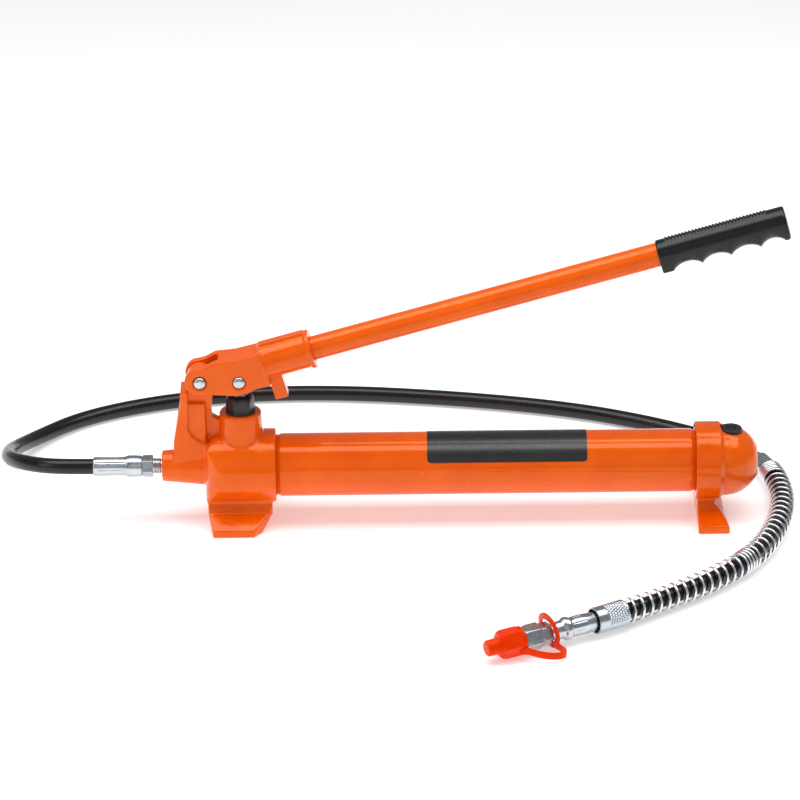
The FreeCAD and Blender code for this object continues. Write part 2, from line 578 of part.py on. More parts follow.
def headed_pin(name, at_x):
    """A pin with a low domed end towards -Y and a groove for its circlip towards +Y."""
    pin = turned(name + "_turned", [
        ("0", "-17"), ("3.5", "-16.8"), ("5.4", "-16"), ("pin_radius", "-14.9"), ("pin_radius", "15.6"),
        ("pin_radius - 0.8", "15.6"), ("pin_radius - 0.8", "17"), ("pin_radius", "17"), ("pin_radius", "18.4"),
        ("5.2", "19.2"), ("0", "19.2")], (at_x, "0", "pin_height"), Y_AXIS)
    node(pin, name)
    ring = cylinder(name + "_clip_disc", "9", "1.2", (at_x, "15.7", "pin_height"), Y_AXIS)
    hole = cylinder(name + "_clip_hole", "pin_radius - 0.75", "3", (at_x, "15", "pin_height"), Y_AXIS)
    gap = box(name + "_clip_gap", "3.4", "3", "12", (f"{at_x} - 1.7", "15", "pin_height"))
    node(cut(name + "_clip_ring", ring, [hole, gap]), name + "_clip")


def handle():
    shell = handle_cylinder("handle_shell", "handle_radius", "handle_start", "grip_start + 2 - handle_start")
    tang = handle_cylinder("handle_tang", "tang_radius", "grip_start - 4", "grip_length - 8")
    hollow = handle_cylinder("handle_hollow", "handle_bore", "handle_start - 1", "grip_start - handle_start - 3")
    node(cut("handle_pipe", fuse("handle_blank", [shell, tang]), [hollow]), "handle_tube")
    crown = handle_cylinder("grip_crown", "grip_radius", "grip_start", "grip_length")
    heel = handle_box("grip_heel", "grip_start", "grip_length", "grip_radius - 1", "-grip_depth", "0")
    ridge = handle_box("grip_ridge", "grip_start + 6", "grip_length - 12", "3.4", "8", "grip_radius + 0.9")
    cuts = [
        handle_cylinder("grip_mouth", "handle_radius", "grip_start - 1", "3"),
        handle_cylinder("grip_bore", "tang_radius", "grip_start", "grip_length - 12"),
    ]
    for index in range(4):
        middle = f"grip_start + 10.4 + scallop_pitch * ({index} + 0.5)"
        cuts.append(cylinder(f"grip_scallop_{index}", "scallop_pitch * 0.72", "60",
                             on_handle(middle, "-grip_depth - scallop_pitch * 0.49", "-30"), Y_AXIS))
    node(cut("grip_cut", fuse("grip_blank", [crown, heel, ridge]), cuts), "handle_grip")


rear_fittings()
fill_plug()
valves()
release_valve()
gland()
plunger()
lever_casting()
headed_pin("pivot_pin", "-arm_length")
headed_pin("plunger_pin", "0")
handle()


# ---------------------------------------------------------------------------------------------
# Hose: straight runs joined by tangent arcs, from the front ferrule round the pump to the coupler
# ---------------------------------------------------------------------------------------------
HOSE_ROUTE = [Vector(*point) for point in (
    (-141, 0, 54), (-168, 0, 54), (-194, 10.5, 51), (-214.5, 31, 45.5), (-227, 61.5, 36), (-228, 105.5, 22),
    (-208, 157, 9.6), (-169, 203, 7.6), (-116, 232, 7.6), (-52, 252, 7.6), (23, 261, 7.6), (103, 259, 7.6),
    (183, 247.5, 7.6), (260, 231.5, 7.6), (333, 210, 7.6), (395, 181, 7.8), (446, 147, 9), (485, 110, 11),
    (509, 60, 12.2), (516, 0, 12.2), (506, -60, 12.2), (479, -123, 12.2), (433, -173, 12.2),
    (377, -215, 12.6), (338, -243, 13.7), (315.8, -254.5, 13.7))]
ARC_SHARE = 0.45            # share of the shorter run that an arc takes at each of its ends
SLEEVE_END = 9.5              # distances along the hose, back from its coupler end
SLEEVE_START = 41.5
GUARD_START = 394
CUFF_START = 422


def route_edges(points):
    """The path's lines and tangent arcs; prints each arc's radius."""
    edges = []
    radii = []
    start = points[0]
    for before, corner, after in zip(points, points[1:], points[2:]):
        run_in = corner - before
        run_out = after - corner
        turn = run_in.getAngle(run_out)
        reach = ARC_SHARE * min(run_in.Length, run_out.Length)
        radii.append(reach / math.tan(turn / 2))
        into = run_in.normalize()
        out = run_out.normalize()
        arc_start = corner - into * reach
        arc_end = corner + out * reach
        to_centre = (out - into).normalize()
        sagitta = radii[-1] / math.cos(turn / 2) - radii[-1]
        edges.append(Part.LineSegment(start, arc_start).toShape())
        edges.append(Part.Arc(arc_start, corner + to_centre * sagitta, arc_end).toShape())
        start = arc_end
    edges.append(Part.LineSegment(start, points[-1]).toShape())
    print("hose arc radii, mm:", [round(radius) for radius in radii])
    return edges


def stretch(edges, first, last):
    """The part of a path between two distances from its start."""
    picked = []
    passed = 0
    for edge in edges:
        low = max(first - passed, 0)
        high = min(last - passed, edge.Length)
        if high - low > 1e-6:
            picked.append(Part.Edge(edge.Curve, edge.getParameterByLength(low), edge.getParameterByLength(high)))
        passed += edge.Length
    return picked


def pipe(edges, radius):
    """A round bar swept along a path."""
    start = edges[0].valueAt(edges[0].FirstParameter)
    tangent = edges[0].tangentAt(edges[0].FirstParameter)
    section = Part.Wire([Part.makeCircle(radius, start, tangent)])
    return Part.Wire(edges).makePipeShell([section], True, False)


def swept(name, shape):
    feature = doc.addObject("Part::Feature", name + "_swept")
    feature.Shape = shape
    feature.Placement = Placement()
    return node(feature, name)


def hose():
    path = route_edges(HOSE_ROUTE)
    length = sum(edge.Length for edge in path)
    radius = size("hose_radius")
    bar = pipe(path, radius)
    expected = math.pi * radius * radius * length
    print("hose length, mm:", round(length), "volume ratio:", round(bar.Volume / expected, 4))
    if abs(bar.Volume / expected - 1) > 0.005:
        raise RuntimeError("the hose's volume is not its section times its length")
    swept("hose", bar)

    def collar(name, start, end, outer):
        part_path = stretch(path, length - start, length - end)
        wall = pipe(part_path, outer)
        bore = pipe(part_path, size("guard_bore"))
        swept(name, wall.cut(bore))

    collar("guard_cuff", CUFF_START, GUARD_START + 0.3, 9.6)
    collar("guard_spring", GUARD_START, SLEEVE_START + 0.3, size("guard_radius"))
    collar("guard_sleeve", SLEEVE_START, SLEEVE_END, 12.3)


# ---------------------------------------------------------------------------------------------
# Fittings at both ends of the hose
# ---------------------------------------------------------------------------------------------
def outlet_fittings():
    """From the port outwards: threaded nipple with its hexagon, then the crimped ferrule."""
    nipple = cylinder("nipple_shank", "port_bore - 0.05", "24", ("-port_tip - 8.2", "0", "axis_height"), X_AXIS)
    neck = cylinder("nipple_neck", "7.4", "8", ("-port_tip - 8.2", "0", "axis_height"), X_AXIS)
    bore = cylinder("nipple_bore", "2.5", "60", ("-port_tip - 30", "0", "axis_height"), X_AXIS)
    hex_part = hexagon("nipple_hexagon", "10.6", "10.4", ("-port_tip - 18.6", "0", "axis_height"), X_AXIS)
    node(cut("outlet_nipple_solid", fuse("outlet_nipple_blank", [nipple, neck, hex_part]), [bore]), "outlet_nipple")
    crimp = turned("front_ferrule_turned", [
        ("2.5", "0.3"), ("2.5", "46.8"), ("7.2", "46.8"), ("9", "46"), ("9.4", "34"), ("9.6", "20"),
        ("10.5", "14"), ("10.5", "1.4"), ("9.6", "0.3")],
        ("-port_tip - 18.6", "0", "axis_height"), -X_AXIS)
    node(crimp, "front_ferrule")


COUPLER_AXIS = (HOSE_ROUTE[-1] - HOSE_ROUTE[-2]).normalize()


def coupler_rotation(turn):
    """A rotation whose Z is the coupler's axis and whose X is turned up from the near side."""
    near = Z_AXIS.cross(COUPLER_AXIS)
    start = near * math.cos(math.radians(turn)) + Z_AXIS * math.sin(math.radians(turn))
    return Rotation(start, COUPLER_AXIS.cross(start), COUPLER_AXIS, "ZXY")


def at_point(point):
    """A point as three expressions."""
    return tuple(f"{value:.4f}" for value in point)


def on_coupler(feature, along, turn=0.0):
    """Set a feature on the coupler's axis, a distance past the hose's end."""
    return place(feature, at_point(HOSE_ROUTE[-1] + COUPLER_AXIS * along), coupler_rotation(turn))


def coupler():
    origin = ("0", "0", "0")
    ferrule = turned("rear_ferrule_turned", [
        ("2.5", "0.1"), ("2.5", "33"), ("8.2", "33"), ("8.6", "24.5"), ("10.4", "23"), ("10.4", "18"),
        ("9.3", "16"), ("9.8", "8"), ("9.5", "0.1")])
    node(on_coupler(ferrule, 0), "rear_ferrule")
    tail = on_coupler(cylinder("coupler_tail", "7.6", "6", origin), 33.1)
    small_hex = on_coupler(hexagon("coupler_small_hexagon", "10.9", "10", origin), 37.4, 55)
    bore = on_coupler(cylinder("coupler_tail_bore", "2.5", "40", origin), 20)
    node(cut("coupler_tail_solid", fuse("coupler_tail_blank", [tail, small_hex]), [bore]), "coupler_body")
    big_hex = on_coupler(hexagon("coupler_big_hexagon", "12.6", "17", origin), 47.6, 55)
    shell = on_coupler(cone("coupler_chamfer", "18", "11.4", "17", origin), 47.6)
    nut_bore = on_coupler(cylinder("coupler_nut_bore", "6", "40", origin), 40)
    node(cut("coupler_nut_solid", common("coupler_nut_blank", [big_hex, shell]), [nut_bore]), "coupler_nut")
    nipple = on_coupler(cylinder("coupler_nipple_body", "5.95", "20", origin), 47.6)
    thread = on_coupler(cylinder("coupler_nipple_thread", "8", "14.4", origin), 64.8)
    poppet_bore = on_coupler(cylinder("coupler_nipple_bore", "2.5", "60", origin), 40)
    node(cut("coupler_nipple_solid", fuse("coupler_nipple_blank", [nipple, thread]), [poppet_bore]), "coupler_nipple")


def dust_cap():
    origin = ("0", "0", "0")
    body = on_coupler(hexagon("cap_hexagon", "13.3", "22", origin), 66.8, 80)
    skirt = on_coupler(cylinder("cap_skirt", "12.9", "4", origin), 65.2)
    nub = on_coupler(cone("cap_nub", "8", "7.4", "16", origin), 88.8)
    bore = on_coupler(cylinder("cap_bore", "8.3", "16", origin), 64.5)
    node(cut("cap_solid", fuse("cap_blank", [body, skirt, nub]), [bore]), "dust_cap")


def cap_strap():
    """A flat ring round the coupler's neck and the band that ties it to the dust cap."""
    origin = ("0", "0", "0")
    ring = on_coupler(cylinder("strap_ring", "13.3", "2.6", origin), 34)
    hole = on_coupler(cylinder("strap_hole", "9", "6", origin), 33)
    near = coupler_rotation(0).multVec(X_AXIS)
    corner = HOSE_ROUTE[-1] + COUPLER_AXIS * 34 - Z_AXIS * 11.5
    upright = Rotation(near, Z_AXIS, COUPLER_AXIS, "ZXY")
    band = place(box("strap_band", "2.4", "6.5", "30.8", origin), at_point(corner + near * 13.4), upright)
    link = place(box("strap_link", "6.2", "6.5", "2.6", origin), at_point(corner + near * 9.6), upright)
    node(cut("strap_solid", fuse("strap_blank", [ring, band, link]), [hole]), "dust_cap_strap")


def label():
    """A blank plate wrapped over the top of the reservoir tube."""
    wrap_start = 25
    start = Vector(0, math.cos(math.radians(wrap_start)), math.sin(math.radians(wrap_start)))
    sheet_metal = cylinder("label_sheet", "tube_radius + 0.35", "label_length", ("label_start", "0", "axis_height"))
    sheet_metal.Angle = 180 - 2 * wrap_start
    sheet_metal.Placement.Rotation = Rotation(start, X_AXIS.cross(start), X_AXIS, "ZXY")
    inside = cylinder("label_inside", "tube_radius + 0.05", "label_length + 2",
                      ("label_start - 1", "0", "axis_height"), X_AXIS)
    node(cut("label_solid", sheet_metal, [inside]), "label")


hose()
outlet_fittings()
coupler()
dust_cap()
cap_strap()
label()


# ---------------------------------------------------------------------------------------------
# Check every object and write the sub-parts
# ---------------------------------------------------------------------------------------------
doc.recompute()
for feature in doc.Objects:
    bad = [word for word in feature.State if word in ("Invalid", "Error")]
    if bad:
        raise RuntimeError(f"{feature.Name} is {bad}")
for feature in NODES:
    if feature.Shape.isNull() or not feature.Shape.isValid() or feature.Shape.Volume <= 0:
        raise RuntimeError(f"{feature.Label} has no valid shape")

os.makedirs("parts", exist_ok=True)
for feature in NODES:
    feature.Shape.exportStep(f"parts/{feature.Label}.step")
print(len(NODES), "sub-parts written")
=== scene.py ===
"""Looks of the hydraulic hand pump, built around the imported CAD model. Metres, in the CAD's frame."""

import json
import math

import bmesh
import bpy
from mathutils import Matrix, Vector

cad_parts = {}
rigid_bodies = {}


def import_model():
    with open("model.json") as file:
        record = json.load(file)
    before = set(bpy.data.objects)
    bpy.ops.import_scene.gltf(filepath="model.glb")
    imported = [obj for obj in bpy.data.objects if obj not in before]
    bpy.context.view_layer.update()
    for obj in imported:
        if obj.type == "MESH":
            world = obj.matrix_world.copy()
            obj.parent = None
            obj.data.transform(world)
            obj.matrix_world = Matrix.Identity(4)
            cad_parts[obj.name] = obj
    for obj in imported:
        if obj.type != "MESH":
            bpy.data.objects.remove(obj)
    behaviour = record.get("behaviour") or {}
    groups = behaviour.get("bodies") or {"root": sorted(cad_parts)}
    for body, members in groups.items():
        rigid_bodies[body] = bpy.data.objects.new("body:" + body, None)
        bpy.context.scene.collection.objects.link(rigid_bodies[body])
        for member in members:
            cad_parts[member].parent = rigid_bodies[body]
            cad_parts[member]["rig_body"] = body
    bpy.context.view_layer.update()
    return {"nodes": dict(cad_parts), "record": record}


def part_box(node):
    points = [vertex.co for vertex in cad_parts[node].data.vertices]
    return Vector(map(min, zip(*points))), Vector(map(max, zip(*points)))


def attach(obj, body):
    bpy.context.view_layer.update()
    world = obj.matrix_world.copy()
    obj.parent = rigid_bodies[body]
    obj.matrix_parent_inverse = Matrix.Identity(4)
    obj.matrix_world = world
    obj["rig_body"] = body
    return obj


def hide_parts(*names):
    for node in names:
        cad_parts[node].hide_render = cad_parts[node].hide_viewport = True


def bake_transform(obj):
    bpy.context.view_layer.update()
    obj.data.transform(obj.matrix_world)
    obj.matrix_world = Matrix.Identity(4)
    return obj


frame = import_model()

X_AXIS = Vector((1, 0, 0))
Y_AXIS = Vector((0, 1, 0))
Z_AXIS = Vector((0, 0, 1))

AXIS_HEIGHT = 0.054          # reservoir axis above the floor
PIN_HEIGHT = 0.1460          # lever pins above the floor
ARM_LENGTH = 0.037           # pivot pin to plunger pin
HANDLE_ANGLE = math.radians(15.85)
HANDLE_DROP = 0.0016         # handle axis below the pivot


# ---------------------------------------------------------------------------------------------
# Camera
# ---------------------------------------------------------------------------------------------
def make_camera():
    """A long lens, 25 degrees above the horizon, turned a little about its own axis."""
    target = Vector((0.1509, 0, 0.120))
    distance = 4.462
    elevation = math.radians(25)
    data = bpy.data.cameras.new("camera")
    data.sensor_width = 36
    data.lens = 212.83
    data.clip_end = 50
    camera = bpy.data.objects.new("camera", data)
    bpy.context.scene.collection.objects.link(camera)
    away = Vector((0, -math.cos(elevation), math.sin(elevation)))
    look = (-away).to_track_quat("-Z", "Y").to_matrix()
    roll = Matrix.Rotation(math.radians(-0.65), 3, "Z")
    camera.matrix_world = Matrix.Translation(target + away * distance) @ (look @ roll).to_4x4()
    bpy.context.scene.camera = camera


make_camera()


# ---------------------------------------------------------------------------------------------
# Materials
# ---------------------------------------------------------------------------------------------
class Surface:
    """A node material around one Principled shader."""

    def __init__(self, name, **sockets):
        self.material = bpy.data.materials.new(name)
        self.material.use_nodes = True
        self.nodes = self.material.node_tree.nodes
        self.links = self.material.node_tree.links
        self.shader = self.nodes["Principled BSDF"]
        for socket, value in sockets.items():
            self.shader.inputs[socket.replace("_", " ")].default_value = value
        self.place = self.nodes.new("ShaderNodeTexCoord").outputs["Object"]

    def noise(self, scale, detail=3.0, roughness=0.5, stretch=None):
        """A noise value from 0 to 1, whose scale is in cells per metre."""
        place = self.place
        if stretch:
            mapping = self.nodes.new("ShaderNodeMapping")
            mapping.inputs["Scale"].default_value = stretch
            self.links.new(place, mapping.inputs["Vector"])
            place = mapping.outputs["Vector"]
        node = self.nodes.new("ShaderNodeTexNoise")
        node.inputs["Scale"].default_value = scale
        node.inputs["Detail"].default_value = detail
        node.inputs["Roughness"].default_value = roughness
        self.links.new(place, node.inputs["Vector"])
        return node.outputs["Fac"]

    def ramp(self, value, low, high, colours):
        """Two or more colours spread over a value's range."""
        node = self.nodes.new("ShaderNodeValToRGB")
        stops = node.color_ramp.elements
        while len(stops) < len(colours):
            stops.new(0.5)
        for index, colour in enumerate(colours):
            stops[index].position = low + (high - low) * index / (len(colours) - 1)
            stops[index].color = (*colour, 1)
        self.links.new(value, node.inputs["Fac"])
        return node.outputs["Color"]

    def to_range(self, value, low, high, from_low=0.3, from_high=0.7):
        node = self.nodes.new("ShaderNodeMapRange")
        node.inputs["From Min"].default_value = from_low
        node.inputs["From Max"].default_value = from_high
        node.inputs["To Min"].default_value = low
        node.inputs["To Max"].default_value = high
        self.links.new(value, node.inputs["Value"])
        return node.outputs["Result"]

    def mixed(self, share, first, second):
        """One colour, covered by another where share is 1."""
        node = self.nodes.new("ShaderNodeMix")
        node.data_type = "RGBA"
        self.links.new(share, node.inputs["Factor"])
        for index, colour in ((6, first), (7, second)):
            if isinstance(colour, tuple):
                node.inputs[index].default_value = (*colour, 1)
            else:
                self.links.new(colour, node.inputs[index])
        return node.outputs[2]

    def edge_highlight_mask(self, start, end):
        """1 on the sharpest convex edges, 0 elsewhere: where the painted edge highlight goes."""
        geometry = self.nodes.new("ShaderNodeNewGeometry")
        return self.to_range(geometry.outputs["Pointiness"], 0, 1, start, end)

    def drive(self, socket, value):
        self.links.new(value, self.shader.inputs[socket])

    def bumps(self, *layers):
        """Stack bump layers, each (height value, depth in metres)."""
        normal = None
        for height, depth in layers:
            node = self.nodes.new("ShaderNodeBump")
            node.inputs["Strength"].default_value = 1.0
            node.inputs["Distance"].default_value = depth
            self.links.new(height, node.inputs["Height"])
            if normal:
                self.links.new(normal, node.inputs["Normal"])
            normal = node.outputs["Normal"]
        self.drive("Normal", normal)


def orange_paint(name, lumps):
    """Gloss enamel: rich orange, orange peel, lumps where it covers a casting, and a painted highlight of
    lighter orange on the sharpest edges.
    """
    paint = Surface(name, Metallic=0.0, Coat_Weight=0.42, Coat_Roughness=0.04, Specular_IOR_Level=0.6,
                    Specular_Tint=(1.0, 0.40, 0.06, 1))
    tone = paint.noise(26, 4, 0.55)
    base = paint.ramp(tone, 0.3, 0.7, [(0.80, 0.092, 0.0003), (0.86, 0.106, 0.0004), (0.91, 0.122, 0.0007)])
    # painted highlight: a lighter orange laid on the sharpest convex edges, standing in for light catching
    # them
    edge_highlight = paint.edge_highlight_mask(0.56, 0.66)
    paint.drive("Base Color", paint.mixed(edge_highlight, base, (1.0, 0.24, 0.02)))
    paint.drive("Roughness", paint.to_range(paint.noise(90, 3), 0.15, 0.28))
    paint.bumps((paint.noise(95, 2, 0.4), lumps), (paint.noise(420, 2), 0.00007))
    return paint.material


def zinc_plate(name, tint, rough, scratch):
    """Bright zinc plating over a turned or drawn surface."""
    metal = Surface(name, Metallic=1.0)
    cloud = metal.noise(130, 4, 0.6)
    metal.drive("Base Color", metal.ramp(cloud, 0.3, 0.7, [tuple(c * 0.82 for c in tint), tint]))
    metal.drive("Roughness", metal.to_range(metal.noise(260, 4, 0.6), rough - 0.07, rough + 0.09))
    metal.bumps((metal.noise(900, 2, 0.5, scratch), 0.00002), (metal.noise(160, 2), 0.00004))
    return metal.material


def rubber(name, tint, rough, grain, depth):
    """Black rubber with a soft sheen and a fine moulded grain."""
    skin = Surface(name, Sheen_Weight=0.03, Sheen_Roughness=0.4, Specular_IOR_Level=0.4)
    dust = skin.noise(45, 5, 0.6)
    skin.drive("Base Color", skin.ramp(dust, 0.35, 0.75, [tint, tuple(c * 1.5 for c in tint)]))
    skin.drive("Roughness", skin.to_range(skin.noise(150, 3), rough - 0.05, rough + 0.08))
    skin.bumps((skin.noise(grain, 2), depth))
    return skin.material


def moulded_plastic(name, tint, rough, glow):
    """Soft moulded plastic with a faint flow pattern."""
    skin = Surface(name, Subsurface_Weight=glow, Subsurface_Scale=0.002, Specular_IOR_Level=0.4,
                   Specular_Tint=(1.0, 0.3, 0.08, 1))
    skin.shader.inputs["Subsurface Radius"].default_value = (1.0, 0.35, 0.12)
    flow = skin.noise(60, 3, 0.5, (1, 1, 2.5))
    skin.drive("Base Color", skin.ramp(flow, 0.3, 0.7, [tuple(c * 0.86 for c in tint), tint]))
    skin.drive("Roughness", skin.to_range(skin.noise(220, 3), rough - 0.06, rough + 0.08))
    skin.bumps((skin.noise(700, 2), 0.00004), (skin.noise(110, 2), 0.00012))
    return skin.material


def printed_label(name):
    """A blank black plate, faintly uneven where its film lies over the paint."""
    film = Surface(name, Coat_Weight=0.3, Coat_Roughness=0.15)
    ink = film.noise(35, 4)
    film.drive("Base Color", film.ramp(ink, 0.3, 0.7, [(0.006, 0.006, 0.007), (0.012, 0.012, 0.014)]))
    film.drive("Roughness", film.to_range(film.noise(200, 3), 0.26, 0.4))
    film.bumps((film.noise(60, 2), 0.00008), (film.noise(1500, 1), 0.00001))
    return film.material


FINISHES = {
    "orange_paint": orange_paint("enamel_on_castings", 0.0011),
    "zinc": zinc_plate("zinc_plate", (0.58, 0.63, 0.68), 0.22, (1, 1, 1)),
    "chrome_rod": zinc_plate("burnished_steel", (0.13, 0.13, 0.14), 0.2, (1, 1, 6)),
    "black_oxide": rubber("black_oxide", (0.014, 0.014, 0.016), 0.3, 500, 0.00008),
    "steel": zinc_plate("machined_steel", (0.56, 0.57, 0.6), 0.33, (5, 1, 1)),
    "spring_steel": zinc_plate("bright_wire", (0.85, 0.87, 0.9), 0.2, (1, 1, 1)),
    "hose_rubber": rubber("hose_cover", (0.002, 0.0022, 0.0035), 0.25, 650, 0.00004),
    "grip_rubber": rubber("grip_rubber", (0.0025, 0.003, 0.005), 0.27, 900, 0.00003),
    "seal_rubber": rubber("seal_rubber", (0.02, 0.02, 0.02), 0.5, 800, 0.00005),
    "black_plastic": rubber("black_plastic", (0.012, 0.012, 0.013), 0.42, 900, 0.00004),
    "cap_plastic": moulded_plastic("cap_plastic", (0.95, 0.042, 0.0008), 0.34, 0.05),
    "label_film": printed_label("label_film"),
    "bronze": zinc_plate("sintered_bronze", (0.62, 0.42, 0.2), 0.5, (1, 1, 1)),
}
TUBE_PAINT = orange_paint("enamel_on_tube", 0.00016)
SLOT_OF = {row["node"]: row["material_slot"] for row in frame["record"]["subparts"]}


def paint(obj, material):
    obj.data.materials.clear()
    obj.data.materials.append(material)


for node_name, node_object in frame["nodes"].items():
    paint(node_object, FINISHES[SLOT_OF[node_name]])


# ---------------------------------------------------------------------------------------------
# Making pieces
# ---------------------------------------------------------------------------------------------
def new_object(name, data):
    obj = bpy.data.objects.new(name, data)
    bpy.context.scene.collection.objects.link(obj)
    return obj


def finish_piece(obj, node, material=None):
    """Ride on the body of the node that the piece stands for, in its finish."""
    slot = SLOT_OF[node]
    paint(obj, material or FINISHES[slot])
    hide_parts(node)
    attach(obj, frame["nodes"][node]["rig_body"])
    return obj


def mesh_object(name, points, faces, sharp_angle=38):
    """A mesh with outward normals, smooth except over edges sharper than the angle."""
    mesh = bpy.data.meshes.new(name)
    mesh.from_pydata([tuple(point) for point in points], [], faces)
    made = bmesh.new()
    made.from_mesh(mesh)
    bmesh.ops.remove_doubles(made, verts=made.verts, dist=1e-6)
    bmesh.ops.recalc_face_normals(made, faces=made.faces)
    for face in made.faces:
        face.smooth = True
    for edge in made.edges:
        if edge.calc_face_angle(0) > math.radians(sharp_angle):
            edge.smooth = False
    made.to_mesh(mesh)
    made.free()
    return new_object(name, mesh)


def ring_faces(rings, around, close_start, close_end, looped=False):
    """Faces that join rings of points, each ring the same number of points around."""
    faces = []
    pairs = [(index, index + 1) for index in range(rings - 1)]
    if looped:
        pairs.append((rings - 1, 0))
    for first, second in pairs:
        for step in range(around):
            after = (step + 1) % around
            faces.append((first * around + step, first * around + after,
                          second * around + after, second * around + step))
    if close_start:
        faces.append(tuple(reversed(range(around))))
    if close_end:
        faces.append(tuple((rings - 1) * around + step for step in range(around)))
    return faces


def bevelled(obj, width, angle=32, segments=2):
    """Give a piece's edges a small rounded bevel."""
    bevel = obj.modifiers.new("edges", "BEVEL")
    bevel.width = width
    bevel.segments = segments
    bevel.limit_method = "ANGLE"
    bevel.angle_limit = math.radians(angle)
    return obj


def square_to(axis, near=Z_AXIS):
    """Two directions square to an axis, the first towards near."""
    if abs(near.dot(axis)) > 0.99:
        near = X_AXIS
    first = (near - axis * near.dot(axis)).normalized()
    return first, axis.cross(first)


def turned(name, profile, origin, axis, shape=None, around=96, looped=False, near=Z_AXIS, edge=0.0003):
    """Turn a profile of (distance along, radius) about an axis.

    shape(angle, along, radius) may change each point's radius. A looped profile closes on itself, as
    a ring's does; any other is closed by flat ends.
    """
    axis = Vector(axis).normalized()
    first, second = square_to(axis, near)
    points = []
    for along, radius in profile:
        for step in range(around):
            angle = math.tau * step / around
            out = shape(angle, along, radius) if shape else radius
            points.append(Vector(origin) + axis * along
                          + (first * math.cos(angle) + second * math.sin(angle)) * out)
    closed = not looped
    obj = mesh_object(name, points, ring_faces(len(profile), around, closed, closed, looped))
    return bevelled(obj, edge) if edge else obj


def hexagonal(across_corners, turn=0.0):
    """A radius limit that cuts a turned piece to a hexagon."""
    half_flats = across_corners / 2 * math.cos(math.pi / 6)

    def shape(angle, along, radius):
        offset = (angle - turn) % (math.pi / 3) - math.pi / 6
        return min(radius, half_flats / math.cos(offset))
    return shape


# ---------------------------------------------------------------------------------------------
# Hose and what is on it
# ---------------------------------------------------------------------------------------------
HOSE_ROUTE = [
    (-0.141, 0, 0.054), (-0.168, 0, 0.054), (-0.194, 0.0105, 0.051), (-0.2145, 0.031, 0.0455),
    (-0.227, 0.0615, 0.036), (-0.228, 0.1055, 0.022), (-0.208, 0.157, 0.0096), (-0.169, 0.203, 0.0076),
    (-0.116, 0.232, 0.0076), (-0.052, 0.252, 0.0076), (0.023, 0.261, 0.0076), (0.103, 0.259, 0.0076),
    (0.183, 0.2475, 0.0076), (0.260, 0.2315, 0.0076), (0.333, 0.210, 0.0076), (0.395, 0.181, 0.0078),
    (0.446, 0.147, 0.009), (0.485, 0.110, 0.011), (0.509, 0.060, 0.0122), (0.516, 0, 0.0122),
    (0.506, -0.060, 0.0122), (0.479, -0.123, 0.0122), (0.433, -0.173, 0.0122), (0.377, -0.215, 0.0126),
    (0.338, -0.243, 0.0137), (0.3158, -0.2545, 0.0137)]
HOSE_RADIUS = 0.0075
HOSE_END = Vector(HOSE_ROUTE[-1])
COUPLER_AXIS = (HOSE_END - Vector(HOSE_ROUTE[-2])).normalized()
NEAR_SIDE = Z_AXIS.cross(COUPLER_AXIS)


def spline_curve(name, route, bevel_depth):
    curve = bpy.data.curves.new(name, "CURVE")
    curve.dimensions = "3D"
    curve.resolution_u = 16
    curve.bevel_depth = bevel_depth
    curve.bevel_resolution = 6
    curve.use_fill_caps = bevel_depth > 0
    spline = curve.splines.new("NURBS")
    spline.points.add(len(route) - 1)
    for point, place in zip(spline.points, route):
        point.co = (*place, 1)
    spline.order_u = 3
    spline.use_endpoint_u = True
    return new_object(name, curve)


def centre_line(route):
    """Points along the route's own NURBS spline."""
    line = spline_curve("centre_line", route, 0)
    mesh = bpy.data.meshes.new_from_object(line)
    points = [vertex.co.copy() for vertex in mesh.vertices]
    bpy.data.objects.remove(line)
    bpy.data.meshes.remove(mesh)
    if (points[0] - Vector(route[0])).length > (points[-1] - Vector(route[0])).length:
        points.reverse()
    return points


class Line:
    """A polyline with places, directions and a steady side direction by distance from its end."""

    def __init__(self, points):
        self.points = points[::-1]
        steps = [(b - a).length for a, b in zip(self.points, self.points[1:])]
        self.passed = [0.0]
        for step in steps:
            self.passed.append(self.passed[-1] + step)

    def at(self, back):
        """Place, forward direction and two sides, a distance back from the coupler end."""
        index = max(i for i, passed in enumerate(self.passed[:-1]) if passed <= max(back, 0))
        start, end = self.points[index], self.points[index + 1]
        share = (back - self.passed[index]) / (self.passed[index + 1] - self.passed[index])
        here = start.lerp(end, share)
        before = self.points[max(index - 2, 0)]
        after = self.points[min(index + 3, len(self.points) - 1)]
        forward = (before - after).normalized()
        up, side = square_to(forward)
        return here, forward, up, side


hose = spline_curve("hose_cover", HOSE_ROUTE, HOSE_RADIUS)
hose_line = Line(centre_line(HOSE_ROUTE))


def along_hose(name, profile, shape=None, around=72, edge=0.0002):
    """A closed wall that follows the hose, from a looped profile of (distance back, radius)."""
    points = []
    for back, radius in profile:
        here, forward, up, side = hose_line.at(back)
        for step in range(around):
            angle = math.tau * step / around
            out = shape(angle, back, radius) if shape else radius
            points.append(here + (up * math.cos(angle) + side * math.sin(angle)) * out)
    obj = mesh_object(name, points, ring_faces(len(profile), around, False, False, True))
    return bevelled(obj, edge) if edge else obj


def wall(start, end, outer, inner, steps, lip=0.0006):
    """A looped profile for a tube wall between two distances, with rounded lips."""
    outside = [(start + (end - start) * i / steps, outer) for i in range(steps + 1)]
    inside = [(end + (start - end) * i / 12, inner) for i in range(13)]
    sign = math.copysign(1, end - start)
    outside[0] = (start + sign * lip * 0.1, outer - lip)
    outside[-1] = (end - sign * lip * 0.1, outer - lip)
    outside.insert(1, (start + sign * lip, outer))
    outside.insert(-1, (end - sign * lip, outer))
    return outside + inside


# Distances along the hose, back from its coupler end
CUFF_START = 0.422
GUARD_START = 0.394
SLEEVE_START = 0.0415
SLEEVE_END = 0.0095


